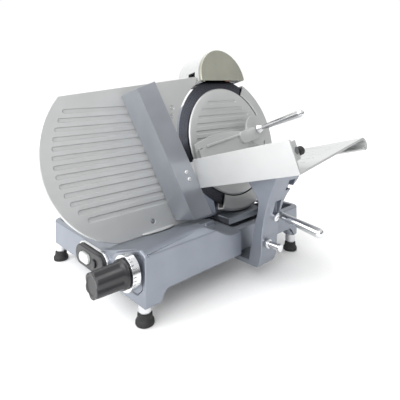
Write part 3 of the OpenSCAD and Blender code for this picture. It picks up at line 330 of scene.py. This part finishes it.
def material_for(slot):
    """The finish of one slot, made once."""
    if slot in MADE:
        return MADE[slot]
    c = bpy.context.scene.slicer_colours
    makers = {
        "cast_aluminium": lambda: cast_aluminium(c.casting),
        "anodised_plate": lambda: anodised_plate(c.plate),
        "sheet_steel": lambda: brushed_sheet(c.sheet),
        "hood_paint": lambda: hood_finish(c.hood),
        "blade_steel": lambda: blade_with_painted_reflection(c.blade),
        "bright_steel": lambda: polished_steel(c.bright),
        "machined_steel": lambda: turned_steel(c.blade),
        "black_rubber": lambda: black_rubber(c.rubber),
        "black_plastic": lambda: moulded_plastic("glass_filled_nylon", c.plastic, 0.38),
        "grey_plastic": lambda: moulded_plastic("acetal_grey", c.button, 0.32),
        "bronze": lambda: sintered_bronze(linear("#a8854f")),
        "motor_paint": lambda: motor_enamel(linear("#3c434b")),
        "circuit_board": lambda: solder_mask(linear("#1f6b3a")),
        "white_stone": lambda: abrasive_stone("white_corundum", linear("#d8d3c6")),
        "red_stone": lambda: abrasive_stone("ruby_honing_stone", linear("#8a5a4c")),
    }
    MADE[slot] = makers[slot]()
    return MADE[slot]


# ---------- mesh helpers ----------

EDGE_ANGLE = math.radians(28)     # faces that meet at more than this have their edge rounded
FLAT_ANGLE = math.radians(0.4)    # CAD faces that turn less than this lie in one plane
MERGE_DISTANCE = 2e-6             # metres


def finish_piece(mesh, name, nodes, body, slot, edge_mm=0.0, steps=2):
    """Turns a mesh into a piece that stands for CAD nodes and rides on their body."""
    mesh.polygons.foreach_set("use_smooth", np.ones(len(mesh.polygons), bool))
    piece = bpy.data.objects.new(name, mesh)
    bpy.context.scene.collection.objects.link(piece)
    mesh.materials.clear()
    mesh.materials.append(material_for(slot))
    if edge_mm > 0:
        bevel = piece.modifiers.new("edge", "BEVEL")
        bevel.width = edge_mm * MM
        bevel.segments = steps
        bevel.limit_method = "ANGLE"
        bevel.angle_limit = EDGE_ANGLE
        bevel.use_clamp_overlap = False
        bevel.harden_normals = True
        bevel.miter_outer = "MITER_ARC"
    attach(piece, body)
    if nodes:
        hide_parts(*nodes)
    return piece


def tidy(mesh, flat_angle=0.0):
    """Merges doubled points, joins faces that lie in one plane, and turns faces outwards."""
    work = bmesh.new()
    work.from_mesh(mesh)
    bmesh.ops.remove_doubles(work, verts=work.verts, dist=MERGE_DISTANCE)
    if flat_angle:
        bmesh.ops.dissolve_limit(work, angle_limit=flat_angle, verts=work.verts, edges=work.edges)
    bmesh.ops.recalc_face_normals(work, faces=work.faces)
    work.to_mesh(mesh)
    work.free()
    return mesh


def ring_mesh(name, points):
    """Points on a grid (rows, columns, 3) joined by quads; each row closes on itself."""
    rows, columns = points.shape[:2]
    index = np.arange(rows * columns).reshape(rows, columns)
    index = np.concatenate([index, index[:, :1]], axis=1)
    quads = np.stack([index[:-1, :-1], index[1:, :-1], index[1:, 1:], index[:-1, 1:]], axis=-1)
    mesh = bpy.data.meshes.new(name)
    mesh.from_pydata(points.reshape(-1, 3).tolist(), [], quads.reshape(-1, 4).tolist())
    return tidy(mesh)


def joined(name, meshes):
    """One mesh that holds several."""
    work = bmesh.new()
    for mesh in meshes:
        work.from_mesh(mesh)
    mesh = bpy.data.meshes.new(name)
    work.to_mesh(mesh)
    work.free()
    return mesh


def rounded(points, radius, steps=5):
    """Rounds the inner corners of an open line: each becomes a quadratic curve that starts and ends
    one radius, or half an edge, away from the corner."""
    points = np.asarray(points, float)
    out = [points[:1]]
    t = np.linspace(0, 1, steps)[:, None]
    for before, corner, after in zip(points[:-2], points[1:-1], points[2:]):
        a, b = before - corner, after - corner
        start = corner + a * min(radius / np.linalg.norm(a), 0.5)
        end = corner + b * min(radius / np.linalg.norm(b), 0.5)
        out.append((1 - t) ** 2 * start + 2 * t * (1 - t) * corner + t ** 2 * end)
    out.append(points[-1:])
    return np.concatenate(out)


def lathe(name, profile, place, turns, cut=None):
    """A surface of revolution: each (radius, height) of the profile is carried round the local Z axis.
    A cut takes the radii, heights and angles and gives the depth to take off."""
    radius, height = profile[:, :1], profile[:, 1:]
    angle = np.linspace(0, 2 * np.pi, turns, endpoint=False)
    if cut:
        radius = radius - cut(radius, height, angle)
    points = np.stack([radius * np.cos(angle), radius * np.sin(angle), np.repeat(height, turns, axis=1)],
                      axis=-1)
    return ring_mesh(name, place(points))


def softened(node, edge_mm, steps=2):
    """A copy of a CAD node with its points merged, its flat faces joined and its edges rounded."""
    source = frame["nodes"][node].data
    mesh = bpy.data.meshes.new(node + "_skin")
    points = np.empty(len(source.vertices) * 3)
    source.vertices.foreach_get("co", points)
    mesh.from_pydata(points.reshape(-1, 3).tolist(), [], [list(p.vertices) for p in source.polygons])
    tidy(mesh, FLAT_ANGLE)
    return finish_piece(mesh, node + "_skin", [node], BODY_OF[node], SLOT_OF[node], edge_mm, steps)


# ---------- settings ----------

class SlicerSizes(bpy.types.PropertyGroup):
    """Edge radii, the shape of the knob and the view"""
    casting_edge: bpy.props.FloatProperty(
        name="Casting edge", description="Radius of the cast edges, in millimetres", default=1.8, min=0.2)
    plate_edge: bpy.props.FloatProperty(
        name="Plate edge", description="Radius of the machined plate edges, in millimetres", default=0.9,
        min=0.1)
    sheet_edge: bpy.props.FloatProperty(
        name="Sheet edge", description="Radius of the sheet edges, in millimetres", default=0.4, min=0.1)
    knob_lobes: bpy.props.IntProperty(
        name="Knob lobes", description="Number of finger lobes on the dial knob", default=6, min=3)
    knob_flute: bpy.props.FloatProperty(
        name="Knob flute", description="Depth of the flutes between the lobes, in millimetres",
        default=3.2, min=0.0)
    lens: bpy.props.FloatProperty(
        name="Lens", description="Focal length of the view", default=35.43, subtype="DISTANCE_CAMERA")
    camera_place: bpy.props.FloatVectorProperty(
        name="Camera place", description="Where the view is taken from", size=3,
        default=(-0.5466, -0.5701, 0.3619), subtype="TRANSLATION", unit="LENGTH")
    camera_turn: bpy.props.FloatProperty(
        name="Camera turn", description="Compass angle of the view from +Y towards +X",
        default=math.radians(43.21), subtype="ANGLE")
    camera_drop: bpy.props.FloatProperty(
        name="Camera drop", description="Share of the frame that the view is shifted down by",
        default=0.2985)


def paint_property(label, hex_colour):
    """A colour setting with a hex default."""
    return bpy.props.FloatVectorProperty(name=label, description=label + " colour", size=3, min=0, max=1,
                                         default=linear(hex_colour), subtype="COLOR")


class SlicerColours(bpy.types.PropertyGroup):
    """The colours of the main finishes"""
    casting: paint_property("Anodised casting", "#8a8f98")
    plate: paint_property("Anodised plate", "#c0c1c1")
    sheet: paint_property("Stainless sheet", "#a9adb4")
    hood: paint_property("Sharpener hood", "#a6a69a")
    blade: paint_property("Blade steel", "#9c9fac")
    bright: paint_property("Bright steel", "#dcdddf")
    rubber: paint_property("Rubber", "#151516")
    plastic: paint_property("Black plastic", "#1c1c1f")
    button: paint_property("Grey button", "#c3c6c4")
    floor: paint_property("Floor", "#f4f4f4")


# ---------- operators ----------

class SLICER_OT_castings(bpy.types.Operator):
    """Rounds the edges of the castings: base, carriage, blade housing, motor cover and sharpener body"""
    bl_idname = "slicer.castings"
    bl_label = "Castings"

    def execute(self, context):
        edge = context.scene.slicer_sizes.casting_edge
        softened("base_casting", edge, 3)
        softened("carriage_arm", edge * 0.8, 3)
        softened("blade_housing", edge * 0.6)
        softened("motor_cover", edge)
        softened("carriage_block", edge * 0.4)
        softened("sharpener_body", edge * 0.5)
        return {"FINISHED"}


class SLICER_OT_plates(bpy.types.Operator):
    """Rounds the edges of the machined pieces: gauge plate and slide, covers, ring guard, tray and pusher"""
    bl_idname = "slicer.plates"
    bl_label = "Machined plates"

    def execute(self, context):
        edge = context.scene.slicer_sizes.plate_edge
        softened("gauge_plate", edge * 1.7, 4)
        softened("blade_cover", edge * 1.3, 3)
        softened("ring_guard", edge)
        softened("tray_floor", edge * 0.6)
        softened("tray_side_wall", edge * 0.5)
        softened("pusher_plate", edge * 0.3)
        softened("pusher_sleeve", edge * 0.4)
        softened("housing_rear_cover", edge * 0.7)
        softened("gauge_slide", edge * 0.5)
        return {"FINISHED"}


class SLICER_OT_sheets(bpy.types.Operator):
    """Rounds the edges of the sheet parts: product fence, slice deflector and bottom plate"""
    bl_idname = "slicer.sheets"
    bl_label = "Sheet parts"

    def execute(self, context):
        edge = context.scene.slicer_sizes.sheet_edge
        softened("product_fence", edge)
        softened("slice_deflector", edge * 0.6)
        softened("bottom_plate", edge)
        return {"FINISHED"}


class SLICER_OT_hood(bpy.types.Operator):
    """Rounds the edges of the sharpener's front cap"""
    bl_idname = "slicer.hood"
    bl_label = "Sharpener hood"

    def execute(self, context):
        softened("sharpener_hood", edge_mm=2.2, steps=3)
        return {"FINISHED"}


class SLICER_OT_knob(bpy.types.Operator):
    """Builds the lobed knob and rounds the edges of its dial"""
    bl_idname = "slicer.knob"
    bl_label = "Knob and dial"

    def execute(self, context):
        sizes = context.scene.slicer_sizes
        self.grip(sizes)
        softened("dial_ring", edge_mm=0.5)
        return {"FINISHED"}

    def grip(self, sizes):
        """Radius = profile - flute * fade * (half of 1 - cos(lobes * angle)) to the power 1.6: round lobes
        with narrow hollows, which fade out at the collar and over the rounded end."""
        def flutes(radius, height, angle):
            fade = (np.clip((height - flute_start) / flute_run_in, 0, 1)
                    * np.clip((radius - rim_radius) / rim_run_in, 0, 1))
            hollow = (0.5 - 0.5 * np.cos(sizes.knob_lobes * angle)) ** 1.6
            return sizes.knob_flute * fade * hollow

        flute_start, flute_run_in = 6, 5         # heights above the collar, in millimetres
        rim_radius, rim_run_in = 13.6, 4
        dish = 1.2                               # depth of the hollow in the end face
        low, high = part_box("knob_grip")
        length = (high[0] - low[0]) / MM
        profile = rounded([(0, 0), (21.5, 0), (21.8, 5), (20.4, 8), (19.2, length), (13.5, length),
                           (12.5, length - dish), (0, length - dish)], 2.6, 7)
        place = Place((high[0], KNOB_AXIS[1], KNOB_AXIS[2]), (0, 0, 1), (0, 1, 0))
        mesh = lathe("knob_grip_skin", profile, place, 144, flutes)
        finish_piece(mesh, "knob_grip_skin", ["knob_grip"], BODY_OF["knob_grip"], SLOT_OF["knob_grip"])


class SLICER_OT_feet(bpy.types.Operator):
    """Builds the flared rubber feet and rounds the edges of their stems"""
    bl_idname = "slicer.feet"
    bl_label = "Feet"

    def execute(self, context):
        low, high = [np.array(corner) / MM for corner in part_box("foot_pads")]
        radius = 14.25
        top = high[2]
        profile = rounded([(0, 0), (radius - 2, 0), (radius, 1.2), (radius, 6.5), (11.6, 10), (11.1, top),
                           (0, top)], 1.4, 6)
        places = [Place(np.array((x, y, 0)) * MM, (1, 0, 0), (0, 1, 0))
                  for x in (low[0] + radius, high[0] - radius) for y in (low[1] + radius, high[1] - radius)]
        mesh = joined("foot_pads_skin", [lathe("foot", profile, place, 56) for place in places])
        finish_piece(mesh, "foot_pads_skin", ["foot_pads"], BODY_OF["foot_pads"], SLOT_OF["foot_pads"])
        softened("foot_stems", edge_mm=0.8)
        return {"FINISHED"}


class SLICER_OT_switch(bpy.types.Operator):
    """Rounds the switch housing, its crescent bezel and both buttons"""
    bl_idname = "slicer.switch"
    bl_label = "Switch"

    def execute(self, context):
        softened("switch_housing", 2.0, 3)
        softened("switch_bezel", 1.2, 3)
        softened("start_button", 1.8, 4)
        softened("stop_button", 1.5, 4)
        return {"FINISHED"}


class SLICER_OT_fittings(bpy.types.Operator):
    """Rounds the small fittings: lock knobs, buttons, roller, screws, bumper and gland"""
    bl_idname = "slicer.fittings"
    bl_label = "Fittings"

    def execute(self, context):
        for node, edge in {"tray_lock_knob": 0.8, "cover_knob": 1.0, "sharpener_lock_knob": 0.8,
                           "grind_button": 0.8, "hone_button": 0.8, "rod_bumper": 1.2, "cable_gland": 0.6,
                           "carriage_roller": 0.6, "blade_screws": 0.2, "gauge_screws": 0.2,
                           "bottom_plate_screws": 0.3}.items():
            softened(node, edge)
        return {"FINISHED"}


class SLICER_OT_finishes(bpy.types.Operator):
    """Gives every CAD node that still shows its finish"""
    bl_idname = "slicer.finishes"
    bl_label = "Finishes"

    def execute(self, context):
        for node, piece in frame["nodes"].items():
            for slot in piece.material_slots:
                slot.material = material_for(SLOT_OF[node])
        return {"FINISHED"}


FLOOR_HALF = 40.0              # metres; far enough for the floor to fill the view

# Place and width in metres, power in watts. All three face LIGHT_TARGET.
LIGHTS = {
    "key_light": ((-1.5, -1.0, 1.25), 1.0, 21),
    "left_light": ((-1.5, 0.4, 1.0), 1.2, 14),
    "back_light": ((0.5, 1.2, 2.2), 1.6, 16),
}
LIGHT_TARGET = (0, 0, 0.2)
SUN_POWER = 0.9                # watts a square metre
SUN_WIDTH = math.radians(70)
SUN_TURN = (math.radians(-12), math.radians(-18), 0)

# Direction, the two cosines to it between which the world brightens, and how much light it adds.
SKY_BACK = ((0.685, 0.729, 0.0), 0.45, 0.8, 1.0)
SKY_LEFT = ((-0.729, 0.685, 0.0), -0.7, 1.0, 0.55)
SKY_ABOVE = ((0.0, 0.0, 1.0), 0.05, 0.7, 0.95)
SKY_LEAST = 0.13


class SLICER_OT_stage(bpy.types.Operator):
    """Lays the pale floor, lights it softly and places the camera"""
    bl_idname = "slicer.stage"
    bl_label = "Stage"

    def execute(self, context):
        self.floor(context)
        self.world(context)
        for name, values in LIGHTS.items():
            self.light(context, name, *values)
        self.sun(context)
        self.camera(context)
        return {"FINISHED"}

    def floor(self, context):
        """A pale sheet far larger than the object."""
        half = FLOOR_HALF
        mesh = bpy.data.meshes.new("floor")
        corners = [(-half, -half, 0), (half, -half, 0), (half, half, 0), (-half, half, 0)]
        mesh.from_pydata(corners, [], [(0, 1, 2, 3)])
        floor = bpy.data.objects.new("floor", mesh)
        context.scene.collection.objects.link(floor)
        material = new_material("paper_sweep")
        fibres = noise(material, object_point(material), 4)
        colour = blend_colours(material, fibres, context.scene.slicer_colours.floor, linear("#f8f8f8"))
        close(material, add(material, "ShaderNodeBsdfPrincipled", Base_Color=colour, Roughness=0.9))
        mesh.materials.append(material)

    def world(self, context):
        """Bright behind the object, above and to its left; dim in front and to its right."""
        world = bpy.data.worlds.new("studio")
        world.use_nodes = True
        world.node_tree.nodes.clear()
        toward = add(world, "ShaderNodeTexCoord").outputs["Generated"]
        level = self.facing(world, toward, *SKY_BACK)
        level = self.plus(world, level, self.facing(world, toward, *SKY_LEFT))
        level = self.plus(world, level, self.facing(world, toward, *SKY_ABOVE))
        level = add(world, "ShaderNodeMath", {"operation": "ADD", "use_clamp": True}, _0=level, _1=SKY_LEAST)
        tint = add(world, "ShaderNodeValToRGB", Fac=level.outputs[0])
        tint.color_ramp.elements[0].color = (0.0, 0.0, 0.004, 1)
        tint.color_ramp.elements[1].color = (1.02, 1.02, 1.02, 1)
        back = add(world, "ShaderNodeBackground", Color=tint.outputs[0], Strength=1.0)
        out = add(world, "ShaderNodeOutputWorld")
        world.node_tree.links.new(back.outputs[0], out.inputs["Surface"])
        context.scene.world = world

    def facing(self, world, toward, axis, low, high, level):
        """Rises from nothing to the level as the view turns towards the axis."""
        dot = add(world, "ShaderNodeVectorMath", {"operation": "DOT_PRODUCT"}, _0=toward, _1=axis)
        return add(world, "ShaderNodeMapRange", {"interpolation_type": "SMOOTHSTEP"},
                   Value=dot.outputs["Value"], From_Min=low, From_Max=high, To_Max=level).outputs[0]

    def plus(self, world, one, other):
        """The sum of two sockets."""
        return add(world, "ShaderNodeMath", {"operation": "ADD"}, _0=one, _1=other).outputs[0]

    def light(self, context, name, place, size, power):
        """A round panel that faces the object."""
        lamp = bpy.data.lights.new(name, "AREA")
        lamp.shape = "DISK"
        lamp.size = size
        lamp.energy = power
        holder = bpy.data.objects.new(name, lamp)
        holder.location = place
        aim = Vector(LIGHT_TARGET) - Vector(place)
        holder.rotation_euler = aim.to_track_quat("-Z", "Y").to_euler()
        context.scene.collection.objects.link(holder)

    def sun(self, context):
        """One broad, even light from above, so the floor stays the same white far away."""
        lamp = bpy.data.lights.new("sky_panel", "SUN")
        lamp.energy = SUN_POWER
        lamp.angle = SUN_WIDTH
        holder = bpy.data.objects.new("sky_panel", lamp)
        holder.rotation_euler = SUN_TURN
        context.scene.collection.objects.link(holder)

    def camera(self, context):
        """A level camera whose frame is shifted down, so uprights stay upright."""
        sizes = context.scene.slicer_sizes
        lens = bpy.data.cameras.new("view")
        lens.sensor_width = 36.0
        lens.lens = sizes.lens
        lens.shift_y = -sizes.camera_drop
        lens.clip_end = 50
        camera = bpy.data.objects.new("view", lens)
        camera.location = sizes.camera_place
        camera.rotation_euler = (math.pi / 2, 0, -sizes.camera_turn)
        context.scene.collection.objects.link(camera)
        context.scene.camera = camera
        context.scene.view_settings.view_transform = "Standard"


class SLICER_PT_panel(bpy.types.Panel):
    """Lists the sizes, the colours and one button for each group of pieces"""
    bl_label = "Deli Meat Slicer"
    bl_idname = "SLICER_PT_panel"
    bl_space_type = "VIEW_3D"
    bl_region_type = "UI"
    bl_category = "Slicer"

    def draw(self, context):
        layout = self.layout
        for group in (context.scene.slicer_sizes, context.scene.slicer_colours):
            for name in group.bl_rna.properties.keys():
                if name not in {"rna_type", "name"}:
                    layout.prop(group, name)
        for operator in OPERATORS:
            layout.operator(operator.bl_idname)


OPERATORS = (
    SLICER_OT_castings, SLICER_OT_plates, SLICER_OT_sheets, SLICER_OT_hood, SLICER_OT_knob, SLICER_OT_feet,
    SLICER_OT_switch, SLICER_OT_fittings, SLICER_OT_finishes, SLICER_OT_stage,
)
CLASSES = (SlicerSizes, SlicerColours, *OPERATORS, SLICER_PT_panel)


def register():
    """Registers the classes and hangs the settings on the scene."""
    for cls in CLASSES:
        bpy.utils.register_class(cls)
    bpy.types.Scene.slicer_sizes = bpy.props.PointerProperty(type=SlicerSizes)
    bpy.types.Scene.slicer_colours = bpy.props.PointerProperty(type=SlicerColours)


def unregister():
    """Takes back what register adds."""
    del bpy.types.Scene.slicer_colours
    del bpy.types.Scene.slicer_sizes
    for cls in reversed(CLASSES):
        bpy.utils.unregister_class(cls)


def main():
    """Builds every group in turn."""
    register()
    for operator in OPERATORS:
        group, name = operator.bl_idname.split(".")
        getattr(getattr(bpy.ops, group), name)()


if __name__ == "__main__":
    main()
